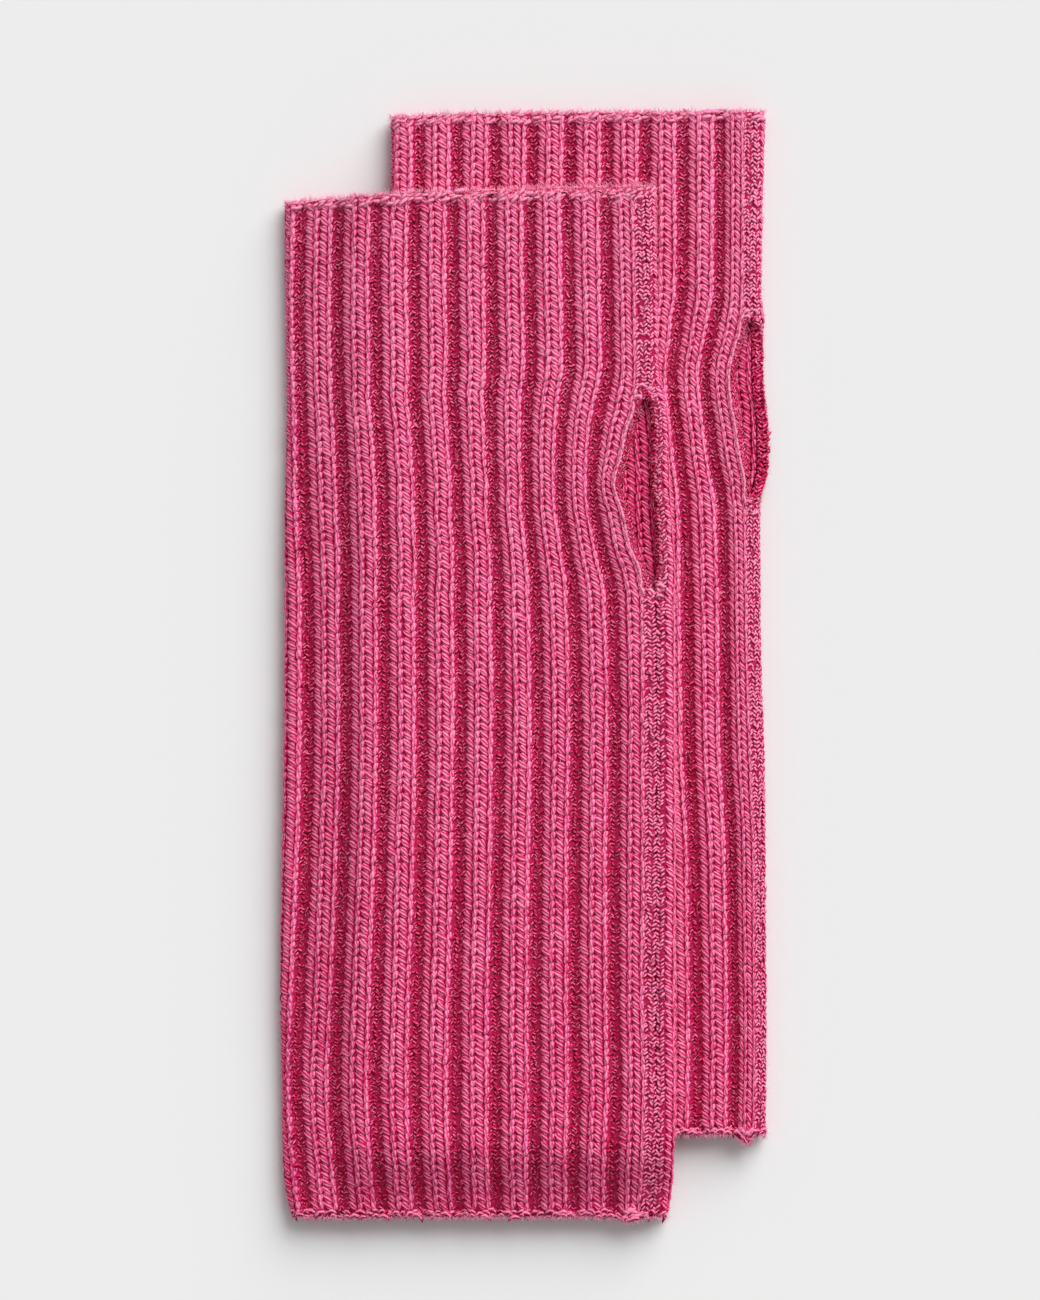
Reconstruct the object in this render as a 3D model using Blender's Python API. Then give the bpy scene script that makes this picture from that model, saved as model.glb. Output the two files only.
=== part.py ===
"""A pair of rib-knit wrist warmers, laid flat on a table, the upper one partly over the lower one.

Each warmer is one knitted panel folded round into a flat tube. Its two side edges meet at a
seam near the right fold, and the seam is left open for a stretch, which is the thumb slit.
Lengths are in millimetres until the mesh is made. X runs across the warmers, Y runs along
them towards the finger end, and Z is up from the table.
"""
import bpy
import numpy as np

MM = 0.001

# The knitting
RIBS = 20
LENGTH = 271.0

# The cloth wall, measured outward from its plain inner face
GROOVE_WALL = 1.4
RIB_WALL = 3.2
SEAM_WALL = 2.2
FLAT_WALL = 1.8
HEM_WALL = 2.0
HEM_BAND = 2.6

# The flattened tube
HALF_GAP = 0.6
FOLD_RADIUS = 3.0
CLEARANCE = 0.3
LIP_REACH = 5.0
CROWDING = 0.018
FLAT_TOP = FLAT_WALL + 2 * HALF_GAP + RIB_WALL

# Where the upper warmer leaves the lower one and comes down to the table, across and along
DOWN_AT_LEFT = (-60.0, -37.6)
DOWN_AT_WRIST = (-143.5, -125.6)

# Moves the pair so that the middle of its outline is at X = Y = 0
CENTRE = (0.682, -0.481)

# Where the cloth's points lie within one rib, from groove to groove, and its share of the relief
RIB_PROFILE = (
    # place, relief
    (0.12, 0.0),
    (0.31, 0.9),
    (0.50, 1.0),
    (0.69, 0.9),
    (0.88, 0.0),
)
SEAM_STRIPE = 0.22
PLAIN_PLACES = (10.5, 11.0, 11.5, 12.0, 12.5, 13.5, 14.5, 15.5, 16.5, 17.5, 18.5)

UPPER = {
    "name": "upper_warmer",
    "colour": (0.62, 0.07, 0.18),
    "finger_edge": 125.2,
    "wrist_edge": -145.9,
    "edge_slope": 0.018,
    "edge_corner": 1.9,
    "back_rise": 1.2,
    "outline": (
        # down, left fold, right fold, groove 9, groove 1, seam from the right fold's top
        (0.0, -64.2, 34.4, -59.7, 20.9, -0.4),
        (26.0, -64.0, 34.9, -60.3, 21.4, -0.4),
        (45.0, -63.7, 35.2, -60.0, 21.7, -0.4),
        (63.0, -63.7, 37.8, -59.5, 18.2, 2.3),
        (77.5, -64.0, 38.1, -59.2, 17.2, 2.5),
        (94.0, -64.2, 39.1, -58.4, 19.6, 2.5),
        (107.0, -64.2, 39.7, -57.9, 22.5, 2.0),
        (140.0, -64.5, 39.7, -57.9, 23.3, 1.8),
        (175.0, -65.0, 39.7, -58.7, 23.0, 1.8),
        (211.0, -65.3, 39.9, -60.3, 23.0, 2.3),
        (235.0, -65.0, 39.7, -61.3, 23.5, 1.8),
        (258.0, -64.0, 39.1, -59.7, 22.7, 1.5),
        (266.0, -62.6, 38.6, -58.9, 22.7, 1.5),
        (271.0, -60.8, 37.8, -58.2, 22.5, 1.2),
    ),
    "slit": (
        # down, near lip from the seam, far lip from the seam, lift of the lips
        (53.3, 0.0, 0.0, 0.2),
        (57.0, 2.4, 2.4, 0.6),
        (63.0, 5.0, 2.9, 1.0),
        (70.0, 6.6, 2.6, 1.2),
        (77.5, 8.5, 2.4, 1.4),
        (85.0, 6.6, 2.9, 1.2),
        (94.0, 5.3, 2.6, 1.0),
        (101.0, 2.4, 1.9, 0.6),
        (106.2, 0.0, 0.0, 0.2),
    ),
    "lift": FLAT_TOP + CLEARANCE,
    "bends": (244.0, 250.3, 254.0, 262.0),
}

LOWER = {
    "name": "lower_warmer",
    "colour": (0.60, 0.06, 0.17),
    "finger_edge": 146.5,
    "wrist_edge": -124.1,
    "edge_slope": 0.006,
    "edge_corner": 1.2,
    "back_rise": 0.0,
    "outline": (
        # down, left fold, right fold, groove 9, groove 1, seam from the right fold's top
        (0.0, -36.6, 63.6, -28.4, 51.4, -0.2),
        (26.0, -36.6, 63.1, -28.4, 51.4, -0.6),
        (47.0, -36.6, 62.8, -28.4, 51.2, -0.8),
        (58.0, -36.6, 63.6, -28.4, 49.3, -0.1),
        (70.0, -36.6, 63.6, -28.4, 47.2, 0.2),
        (85.0, -36.3, 65.0, -28.1, 48.8, 0.4),
        (93.5, -36.1, 65.0, -27.8, 49.9, -0.1),
        (105.0, -35.8, 62.6, -27.6, 52.0, -1.7),
        (142.0, -35.3, 62.8, -27.3, 52.8, -1.9),
        (166.0, -35.0, 63.6, -27.0, 53.0, -1.9),
        (198.0, -34.7, 64.2, -26.5, 54.6, -2.2),
        (251.0, -34.5, 64.4, -26.3, 55.2, -2.2),
        (271.0, -33.9, 64.2, -26.0, 54.9, -2.2),
    ),
    "slit": (
        # down, near lip from the seam, far lip from the seam, lift of the lips
        (53.9, 0.0, 0.0, 0.2),
        (58.0, 2.7, 2.1, 0.6),
        (63.5, 4.8, 3.2, 0.9),
        (70.0, 5.8, 3.4, 1.1),
        (76.5, 5.8, 3.2, 1.1),
        (85.0, 5.0, 3.7, 1.0),
        (93.5, 4.2, 3.2, 0.8),
        (100.0, 1.9, 2.1, 0.5),
        (105.0, 0.0, 0.0, 0.2),
    ),
    "lift": 0.0,
    "bends": (),
}


def along_table(rows, column, at):
    """Read one column of a table at the given places, on a smooth curve that never overshoots."""
    table = np.array(rows, dtype=float)
    place, value = table[:, 0], table[:, column]
    step = np.diff(place)
    rise = np.diff(value) / step
    slope = np.concatenate(([rise[0]], np.zeros(len(step) - 1), [rise[-1]]))
    same_way = rise[:-1] * rise[1:] > 0
    total = np.where(same_way, rise[:-1] + rise[1:], 1.0)
    slope[1:-1] = np.where(same_way, 2 * rise[:-1] * rise[1:] / total, 0.0)
    at = np.clip(at, place[0], place[-1])
    row = np.clip(np.searchsorted(place, at, side="right") - 1, 0, len(step) - 1)
    t = (at - place[row]) / step[row]
    return ((1 + 2 * t) * (1 - t) ** 2 * value[row] + t * (1 - t) ** 2 * step[row] * slope[row]
            + t ** 2 * (3 - 2 * t) * value[row + 1] + t ** 2 * (t - 1) * step[row] * slope[row + 1])


def ease(value, start, end):
    """Rise smoothly from 0 at start to 1 at end."""
    t = np.clip((value - start) / (end - start), 0.0, 1.0)
    return t * t * (3 - 2 * t)


def rib_place(warmer, rib, down):
    """Return how far round the tube, from the right fold's top, a rib coordinate lies.

    rib is 0 at the seam's near lip, a whole number in each groove and RIBS at the far lip.
    """
    columns = [along_table(warmer["outline"], i, down) for i in range(1, 6)]
    left, right, groove_9, groove_1, seam = columns
    near, far, lip_lift = [along_table(warmer["slit"], i, down) for i in range(1, 4)]
    near_place = seam + np.maximum(near, CLEARANCE / 2)
    fold_x = right - RIB_WALL - HALF_GAP
    flat = fold_x - (left + RIB_WALL + HALF_GAP)
    round_trip = 2 * flat + 2 * np.pi * FOLD_RADIUS
    far_place = round_trip + seam - np.maximum(far, CLEARANCE / 2)
    share = np.clip((rib - 1) / 8, 0.0, 1.0)
    evenly = share - CROWDING * near * share * (1 - share)
    place = fold_x - (groove_1 + (groove_9 - groove_1) * evenly)
    first = near_place + (fold_x - groove_1 - near_place) * rib
    last = fold_x - groove_9 + (far_place - fold_x + groove_9) * (rib - 9) / (RIBS - 9)
    place = np.where(rib < 1, first, np.where(rib > 9, last, place))
    lift = lip_lift * (np.exp(-(place - near_place) / LIP_REACH)
                       + 0.5 * np.exp(-(far_place - place) / LIP_REACH))
    return place, fold_x, flat, lift


def wall_line(warmer, rib, down):
    """Return the inner face's x, y and z, and the way out of the cloth in x and z."""
    place, fold_x, flat, lift = rib_place(warmer, rib, down)
    half_turn = np.pi * FOLD_RADIUS
    place = np.where(place < 0, place + 2 * flat + 2 * half_turn, place)
    on_top = place < flat
    on_left = (place >= flat) & (place < flat + half_turn)
    below = (place >= flat + half_turn) & (place < 2 * flat + half_turn)
    past_left = (place - flat) / FOLD_RADIUS
    past_right = (place - 2 * flat - half_turn) / FOLD_RADIUS
    turn = np.select([on_top, on_left, below], [0.0, past_left, np.pi], np.pi + past_right)
    line_x = np.select(
        [on_top, on_left, below],
        [fold_x - place, fold_x - flat, fold_x - 2 * flat - half_turn + place], fold_x)
    out_x, out_z = -np.sin(turn), np.cos(turn)
    x = line_x + out_x * HALF_GAP
    z = FLAT_WALL + HALF_GAP + out_z * HALF_GAP + lift
    back = 0.5 - 0.5 * out_z
    share = down / LENGTH
    corner = warmer["edge_corner"] * np.exp(-(x - warmer["outline"][0][1]) / 12.0)
    rise = warmer["back_rise"] * back * ease(x, -50.0, 10.0)
    top = warmer["finger_edge"] + warmer["edge_slope"] * x - corner + rise
    y = top + (warmer["wrist_edge"] - top) * share
    z = z + warmer["lift"] * ease(x, *DOWN_AT_LEFT) * ease(y, *DOWN_AT_WRIST)
    return x + CENTRE[0], y + CENTRE[1], z, out_x, out_z


def wall_thickness(rib, relief, down, out_z):
    """Return the cloth's thickness: ribbed on top and at the folds, plain where it lies down."""
    on_stripe = (rib < SEAM_STRIPE + 0.01) | (rib > RIBS - SEAM_STRIPE - 0.01)
    ribbed = GROOVE_WALL + (RIB_WALL - GROOVE_WALL) * relief
    ribbed = np.where(on_stripe, SEAM_WALL, ribbed)
    edge = np.minimum(down, LENGTH - down)
    ribbed = np.where(edge < HEM_BAND - 0.01, np.minimum(ribbed, HEM_WALL), ribbed)
    showing = ease(out_z, -1.0, 0.0)
    return FLAT_WALL + (ribbed - FLAT_WALL) * showing


def rib_columns():
    """Return the rib coordinates of the cloth's points round the tube, with each one's relief."""
    columns = [(0.0, 0.0), (SEAM_STRIPE, 0.0)]
    columns += [(place, 1.0) for place in PLAIN_PLACES]
    for rib in range(RIBS):
        for place, relief in RIB_PROFILE:
            at = rib + place
            on_stripe = at < SEAM_STRIPE or at > RIBS - SEAM_STRIPE
            if not on_stripe and not PLAIN_PLACES[0] - 0.1 < at < PLAIN_PLACES[-1] + 0.1:
                columns.append((at, relief))
    columns += [(RIBS - SEAM_STRIPE, 0.0), (float(RIBS), 0.0)]
    return np.array(sorted(columns))


def section_heights(warmer):
    """Return how far down the warmer its sections lie: both hems and every row of its tables."""
    rows = [row[0] for row in warmer["outline"]] + [row[0] for row in warmer["slit"]]
    rows += [HEM_BAND, LENGTH - HEM_BAND] + list(warmer["bends"])
    kept = []
    for row in sorted(rows):
        if not kept or row - kept[-1] > 1.5:
            kept.append(row)
    return kept


def warmer_points(warmer):
    """Return the outer and inner points as grids, one row for each section down the warmer."""
    columns = rib_columns()
    down, rib = np.meshgrid(section_heights(warmer), columns[:, 0], indexing="ij")
    relief = np.broadcast_to(columns[:, 1], rib.shape)
    x, y, z, out_x, out_z = wall_line(warmer, rib, down)
    thickness = wall_thickness(rib, relief, down, out_z)
    inner = np.stack((x, y, z), axis=-1)
    outer = inner + thickness[..., None] * np.stack((out_x, np.zeros_like(out_x), out_z), axis=-1)
    return outer, inner


def add_warmer(warmer):
    """Build one warmer as a closed wall with open ends, an open slit and a parted seam."""
    outer, inner = warmer_points(warmer)
    sections, columns = outer.shape[:2]
    count = sections * columns
    points = np.concatenate((outer.reshape(-1, 3), inner.reshape(-1, 3))) * MM
    faces = []
    for i in range(sections - 1):
        for j in range(columns - 1):
            a = i * columns + j
            b = a + columns
            faces.append((a, a + 1, b + 1, b))
            faces.append((count + a, count + b, count + b + 1, count + a + 1))
        for a, turned in ((i * columns, True), (i * columns + columns - 1, False)):
            b = a + columns
            side = (a, b, count + b, count + a)
            faces.append(side if turned else side[::-1])
    for j in range(columns - 1):
        for a, turned in ((j, False), (count - columns + j, True)):
            end = (a, count + a, count + a + 1, a + 1)
            faces.append(end[::-1] if turned else end)
    mesh = bpy.data.meshes.new(warmer["name"])
    mesh.from_pydata(points.tolist(), [], faces)
    mesh.update()
    item = bpy.data.objects.new(warmer["name"], mesh)
    item.data.materials.append(knit_material(warmer["name"] + "_yarn", warmer["colour"]))
    bpy.context.scene.collection.objects.link(item)
    return item


def knit_material(name, colour):
    """Make the matt pink of soft wool yarn."""
    material = bpy.data.materials.new(name)
    material.use_nodes = True
    shader = material.node_tree.nodes["Principled BSDF"]
    shader.inputs["Base Color"].default_value = (*colour, 1.0)
    shader.inputs["Roughness"].default_value = 0.95
    shader.inputs["Metallic"].default_value = 0.0
    return material


def main():
    """Clear the scene and build both warmers."""
    for item in list(bpy.data.objects):
        bpy.data.objects.remove(item, do_unlink=True)
    add_warmer(LOWER)
    add_warmer(UPPER)


main()
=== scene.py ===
"""Looks of a pair of rib-knit wrist warmers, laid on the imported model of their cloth.

The knitting is worked out in flat cloth first. A rib coordinate counts the ribs round the tube,
rows are measured down it from the finger edge, and heights go out of the cloth's inner face. Each
stitch is a short strand of yarn, repeated over the cloth and then laid onto its warmer through
those three numbers. Cloth lengths are in millimetres, and finished pieces are in metres.
"""
import math

import bmesh
import bpy
import numpy as np
from mathutils import Matrix


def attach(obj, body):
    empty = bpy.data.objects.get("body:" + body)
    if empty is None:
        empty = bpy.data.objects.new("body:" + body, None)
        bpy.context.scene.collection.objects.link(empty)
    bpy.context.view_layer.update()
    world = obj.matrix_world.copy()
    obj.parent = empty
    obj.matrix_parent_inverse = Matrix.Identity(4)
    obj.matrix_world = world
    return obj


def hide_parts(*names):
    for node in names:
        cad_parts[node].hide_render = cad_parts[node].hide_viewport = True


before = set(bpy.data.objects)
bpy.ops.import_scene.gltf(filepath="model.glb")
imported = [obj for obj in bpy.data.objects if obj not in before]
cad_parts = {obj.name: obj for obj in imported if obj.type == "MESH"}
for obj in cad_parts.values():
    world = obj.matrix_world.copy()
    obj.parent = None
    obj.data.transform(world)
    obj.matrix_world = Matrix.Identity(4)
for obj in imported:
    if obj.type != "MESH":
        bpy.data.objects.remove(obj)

bl_info = {
    "name": "Rib-Knit Wrist Warmers",
    "version": (1, 0, 0),
    "blender": (4, 5, 0),
    "location": "View3D > Sidebar > Wrist Warmers",
    "description": "Dresses a pair of rib-knit wrist warmers in stitches, edges and wool fuzz",
    "category": "Add Mesh",
}

MM = 0.001
BODY = "root"

# A strand's maps, for its plies and for baking, its attributes, for its own random numbers and
# for its crest, which carries the painted shade along its edges, and the distance in
# millimetres under which its points are welded
YARN_MAP = "Yarn"
BAKE_MAP = "OFBake"
STITCH = "stitch"
SHADE_CROWN = "shade_crown"
WELD = 1e-5

# The knitting: ribs round the tube, its length, where a rib's two columns of stitches lie, the
# width of the seam's stripe beside each lip in ribs, the grooves that the outline tables place,
# the ribs and grooves on the upper side and underneath, and how many rows down the first one is
RIBS = 20
LENGTH = 271.0
RIB_PITCH = 10.24
RIBS_PER_MM = 1 / RIB_PITCH
RIB_START, RIB_END = 0.136, 0.864
COLUMNS = 2
SEAM_STRIPE = 0.24
NEAR_GROOVE, FAR_GROOVE = 1, 9
TOP_RIBS, UNDER_RIBS = (*range(10), 19), range(10, 19)
TOP_GROOVES, UNDER_GROOVES = (*range(1, 11), 19), range(11, 19)
FIRST_ROW = 0.9

# The cloth wall, measured outward from its plain inner face, how round a rib is, how far the
# ribs beside the seam reach under its stripe, and how deep the pressed underside's grooves are
GROOVE_WALL = 1.4
RIB_WALL = 3.2
SEAM_WALL = 2.6
FLAT_WALL = 1.8
RIB_SHOULDER = 0.38
RIB_ROUNDNESS = 2.5
STRIPE_LAP = 0.10
PRESSED_GROOVE = 0.5

# The flattened tube, and how far the left corner's drop and the back layer's rise reach across
HALF_GAP = 0.6
FOLD_RADIUS = 3.0
CORNER_REACH = 12.0
BACK_RISE_ACROSS = (-50.0, 10.0)

# The thumb slit: how its lips part, crowd the ribs beside them, lift, curl in and turn down
SEWN_GAP = 0.02
WIDE_OPEN = 4.0
CROWDING = 0.018
LIP_REACH = 5.0
FAR_LIFT = 0.5
CURL_WIDTH = 1.8
CURL_LIMIT = 1.2
CURL_DROP = 2.6
CURL_STEEPNESS = 1.3
FAR_DROP = 2.4
FAR_REACH = 1.8
LIP_SLOPE = 1.0

# The knot of the seam's yarn at the wrist hem: how wide it pulls, in ribs, and how far up
KNOT_WIDTH = 0.28
KNOT_PULL = 7.0

# Where the upper warmer leaves the lower one and comes down to the table, across and along
DOWN_AT_LEFT = (-60.0, -37.6)
DOWN_AT_WRIST = (-143.5, -125.6)

# Moves the pair so that the middle of its outline is at X = Y = 0
CENTRE = (0.682, -0.481)

# Each warmer: where its edges lie on the table, how they slope, how far their left corner drops,
# how far the back layer's edge shows past the front one's, its outline and thumb slit, how high
# it lies on the other warmer, the rib coordinates of its inner columns that show in the slit
# (one of them, and the last), and the rib coordinate and the drop of the knot at its wrist hem
UPPER = {
    "name": "upper",
    "node": "upper_warmer",
    "seed": 11,
    "finger_edge": 125.2,
    "wrist_edge": -145.9,
    "edge_slope": 0.018,
    "edge_corner": 1.9,
    "back_rise": 1.2,
    "outline": (
        # down, left fold, right fold, groove 9, groove 1, seam from the right fold's top
        (0.0, -64.2, 34.4, -59.7, 20.9, -0.4),
        (26.0, -64.0, 34.9, -60.3, 21.4, -0.4),
        (45.0, -63.7, 35.2, -60.0, 21.7, -0.4),
        (63.0, -63.7, 37.8, -59.5, 18.2, 2.3),
        (77.5, -64.0, 38.1, -59.2, 17.2, 2.5),
        (94.0, -64.2, 39.1, -58.4, 19.6, 2.5),
        (107.0, -64.2, 39.7, -57.9, 22.5, 2.0),
        (140.0, -64.5, 39.7, -57.9, 23.3, 1.8),
        (175.0, -65.0, 39.7, -58.7, 23.0, 1.8),
        (211.0, -65.3, 39.9, -60.3, 23.0, 2.3),
        (235.0, -65.0, 39.7, -61.3, 23.5, 1.8),
        (258.0, -64.5, 39.1, -59.7, 22.7, 1.5),
        (266.0, -63.5, 38.6, -58.9, 22.7, 1.5),
        (271.0, -62.2, 37.8, -58.2, 22.5, 1.2),
    ),
    "slit": (
        # down, near lip from the seam, far lip from the seam, lift of the lips
        (53.3, 0.0, 0.0, 0.2),
        (57.0, 2.4, 1.7, 0.6),
        (63.0, 5.0, 2.0, 1.0),
        (70.0, 6.6, 1.8, 1.2),
        (77.5, 8.5, 1.6, 1.4),
        (85.0, 6.6, 2.0, 1.2),
        (94.0, 5.3, 1.8, 1.0),
        (101.0, 2.4, 1.3, 0.6),
        (106.2, 0.0, 0.0, 0.2),
    ),
    "lift": 6.5,
    "inner_columns": (18.83, 20.00),
    "knot": (0.51, 1.2),
}

LOWER = {
    "name": "lower",
    "node": "lower_warmer",
    "seed": 23,
    "finger_edge": 146.5,
    "wrist_edge": -124.1,
    "edge_slope": 0.006,
    "edge_corner": 1.2,
    "back_rise": 0.0,
    "outline": (
        # down, left fold, right fold, groove 9, groove 1, seam from the right fold's top
        (0.0, -36.6, 63.6, -28.4, 51.4, -0.2),
        (26.0, -36.6, 63.1, -28.4, 51.4, -0.6),
        (47.0, -36.6, 62.8, -28.4, 51.2, -0.8),
        (58.0, -36.6, 63.6, -28.4, 49.3, -0.1),
        (70.0, -36.6, 63.6, -28.4, 47.2, 0.2),
        (85.0, -36.3, 65.0, -28.1, 48.8, 0.4),
        (93.5, -36.1, 65.0, -27.8, 49.9, -0.1),
        (105.0, -35.8, 62.6, -27.6, 52.0, -1.7),
        (142.0, -35.3, 62.8, -27.3, 52.8, -1.9),
        (166.0, -35.0, 63.6, -27.0, 53.0, -1.9),
        (198.0, -34.7, 64.2, -26.5, 54.6, -2.2),
        (251.0, -34.5, 64.4, -26.3, 55.2, -2.2),
        (271.0, -33.9, 64.2, -26.0, 54.9, -2.2),
    ),
    "slit": (
        # down, near lip from the seam, far lip from the seam, lift of the lips
        (53.9, 0.0, 0.0, 0.2),
        (58.0, 2.7, 2.1, 0.6),
        (63.5, 4.8, 3.2, 0.9),
        (70.0, 5.8, 3.4, 1.1),
        (76.5, 5.8, 3.2, 1.1),
        (85.0, 5.0, 3.7, 1.0),
        (93.5, 4.2, 3.2, 0.8),
        (100.0, 1.9, 2.1, 0.5),
        (105.0, 0.0, 0.0, 0.2),
    ),
    "lift": 0.0,
    "inner_columns": (19.22, 20.10),
    "knot": (0.55, 2.4),
}

# Strands of yarn: across, up and out of the cloth in millimetres, and half their width. A form
# is how high the strand arches, as a share of half its width, and the faces round it.
LEFT_LEG = (
    (0.15, 1.95, -1.25, 0.0),
    (0.52, 1.35, -0.56, 0.82),
    (1.02, 0.55, -0.38, 1.06),
    (1.54, -0.35, -0.38, 1.04),
    (2.02, -1.05, -0.60, 0.74),
    (2.20, -1.55, -1.25, 0.0),
)
LEFT_LEG_FORM = (0.36, 4)
RIGHT_LEG = (
    (3.60, 1.95, -1.20, 0.0),
    (3.34, 1.15, -0.40, 0.82),
    (3.08, 0.20, -0.32, 0.92),
    (2.80, -0.90, -0.46, 0.78),
    (2.60, -1.60, -1.20, 0.0),
)
RIGHT_LEG_FORM = (0.48, 4)
UNDER_LEFT_LEG = (
    (0.30, 1.70, -0.90, 0.0),
    (0.85, 0.75, -0.45, 0.88),
    (1.60, -0.60, -0.45, 0.86),
    (2.05, -1.40, -0.90, 0.0),
)
UNDER_LEFT_FORM = (0.5, 3)
UNDER_RIGHT_LEG = (
    (3.50, 1.70, -0.90, 0.0),
    (3.20, 0.75, -0.45, 0.62),
    (2.80, -0.60, -0.45, 0.60),
    (2.55, -1.40, -0.90, 0.0),
)
UNDER_RIGHT_FORM = (0.7, 3)
PURL_SLANT = (
    (-0.80, -0.66, -0.60, 0.0),
    (-0.30, -0.26, -0.10, 0.42),
    (0.30, 0.26, -0.10, 0.42),
    (0.80, 0.66, -0.60, 0.0),
)
PURL_BACK_SLANT = tuple((-across, up, out, half) for across, up, out, half in PURL_SLANT)
UNDER_PURL = (
    (-1.45, -0.30, -0.80, 0.0),
    (-0.60, 0.00, -0.35, 0.62),
    (0.60, 0.00, -0.35, 0.62),
    (1.45, -0.30, -0.80, 0.0),
)
PURL_FORM = (0.55, 3)
PURL_ASIDE = 0.95
SEAM_SLANT = (
    (-0.76, -0.74, -0.45, 0.0),
    (-0.30, -0.28, -0.06, 0.43),
    (0.30, 0.28, -0.06, 0.43),
    (0.76, 0.74, -0.45, 0.0),
)
SEAM_BACK_SLANT = tuple((-across, up, out, half) for across, up, out, half in SEAM_SLANT)
SEAM_COLUMNS = (
    # rib coordinate from the seam, and which way the strands slant
    (0.21, 1),
    (0.115, -1),
    (0.02, 1),
    (-0.075, -1),
    (-0.17, 1),
)
SEAM_FORM = (0.40, 3)
LIP_RIDGE = (
    (0.12, 1.55, -0.90, 0.0),
    (0.05, 0.60, -0.06, 0.56),
    (-0.05, -0.60, -0.06, 0.56),
    (-0.12, -1.55, -0.90, 0.0),
)
LIP_RIDGE_FORM = (0.7, 3)
LIP_RIDGE_RIB = 0.25
LIP_END_COLUMNS = (
    # height on the far lip's end, and which way the strands slant
    (0.55, -1),
    (1.35, 1),
    (2.15, -1),
)
EDGE_LINK = (
    (-1.40, -0.62, -0.80, 0.0),
    (-0.70, -0.26, -0.18, 0.50),
    (0.60, 0.22, -0.18, 0.50),
    (1.40, 0.54, -0.80, 0.0),
)
EDGE_FORM = (0.6, 3)
KNOT_TURN = (
    (-1.50, -0.70, -0.80, 0.0),
    (-0.90, 0.10, -0.20, 0.46),
    (0.00, 0.50, 0.00, 0.54),
    (0.90, 0.10, -0.20, 0.46),
    (1.50, -0.70, -0.80, 0.0),
)
KNOT_FORM = (0.9, 4)
HAIR = (
    (0.00, 0.0, 0.0, 0.0),
    (0.45, 0.0, 0.0, 1.0),
    (1.00, 0.0, 0.0, 0.0),
)
HAIR_FORM = (1.0, 3)

# The yarn that ties the slit's ends, in ribs from both lips and millimetres from each end
TIE_PLACES = (0.13, RIBS - 0.10)
TIES_AT_TOP = (-0.9, 0.6, 1.9)
TIES_AT_END = (-1.4, -0.3, 0.9)

# The inner side's stitches: how far they stand out, and which columns of them there are
INNER_LIFT = 0.95
INNER_COLUMNS = (-2, 4)

# How uneven the knitting is: a slow drift of a column, in millimetres over so many rows, and
# how far the looseness turns, stretches and moves each stitch
DRIFT = 0.16
DRIFT_ROWS = 9
TURNED, STRETCHED = 1.2, 0.8
MOVED_ACROSS, MOVED_ALONG = 1.1, 1.3

# The ground: how deep it lies under the cloth's face and under the seam's stripe, its thinnest
# wall, how far it keeps off the table, and its faces across a rib
GROUND_DEPTH = 0.42
STRIPE_DEPTH = 0.10
THINNEST_WALL = 0.5
TABLE_GAP = 0.25
GROUND_FACES = 6

# The hems: the band in which the ribs even out to one wall, the pitch and the rows of the links,
# how far the rim stands past the edge, and the rows and the spacing of the knot's turns
EDGE_BAND = (1.3, 2.8)
EDGE_WALL = 2.8
EDGE_EVENNESS = 0.55
EDGE_PITCH = 1.87
FINGER_ROWS = (0.35, 1.15, 1.95)
WRIST_ROWS = (0.35, 1.05)
RIM_REACH = 0.05
KNOT_ROWS = (LENGTH - 1.8, LENGTH - 0.5)
KNOT_STEP = 0.14

# Loose fibres over the face, at the folds, at the hems and round the slit: their shares, how
# high they start from the face, how steeply they stand, and how much they spread and bend
FUZZ_SHARES = (0.45, 0.25, 0.24, 0.06)
FUZZ_START = (0.05, -0.25, -0.25, -0.25)
FUZZ_STEEPNESS = (0.12, 0.7, 0.2, 0.4)
FUZZ_SPREAD = (0.7, 0.7, 0.35)
FUZZ_BEND = 0.35

# Where they grow, in ribs: the face, the two folds and the two lips, and in millimetres: how
# deep from a hem and how far past the slit's ends. At the hems they lean outward and are longer.
FUZZ_FACE = 10
FUZZ_FOLDS = (9.55, 19.4)
FUZZ_FOLD_SPREAD = 0.22
FUZZ_NEAR_LIP, FUZZ_FAR_LIP = 0.3, 0.25
FUZZ_HEM_DEPTH = 0.35
FUZZ_PAST_SLIT = 2
HEM_LEAN = 1.2
HEM_LENGTH = 1.5

# The least and the greatest length and width of a loose fibre, as shares of the usual one
HAIR_LENGTHS = (0.5, 1.5)
HAIR_WIDTHS = (0.7, 1.3)

# What is added to a warmer's seed for its fuzz, and the step between fibres before they are laid
FUZZ_SEED = 5
HAIR_STEP = (2, 0, 0)

# The margin of each strand's own cell to bake into, and the range of its random numbers
CELL_MARGIN = 0.06
LOT_RANGE = 10

# A wave texture of scale 1 repeats after this length
WAVE_LENGTH = math.tau / 20

# Noise cells to a millimetre across and along the plies, for fibres that show 0.3 mm wide and
# 0.8 mm long, and on the ground, where they show 0.45 mm wide (real ones are 0.025 mm wide, too
# fine to show), cells to a metre, for blotches of dye 9 mm wide, and where the marl's sum starts
FIBRE_CELLS = (3.2, 1.2, 1.0)
GROUND_CELLS = 2.2
BLOTCH_CELLS = 110.0
MARL_START = -1.11

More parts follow.
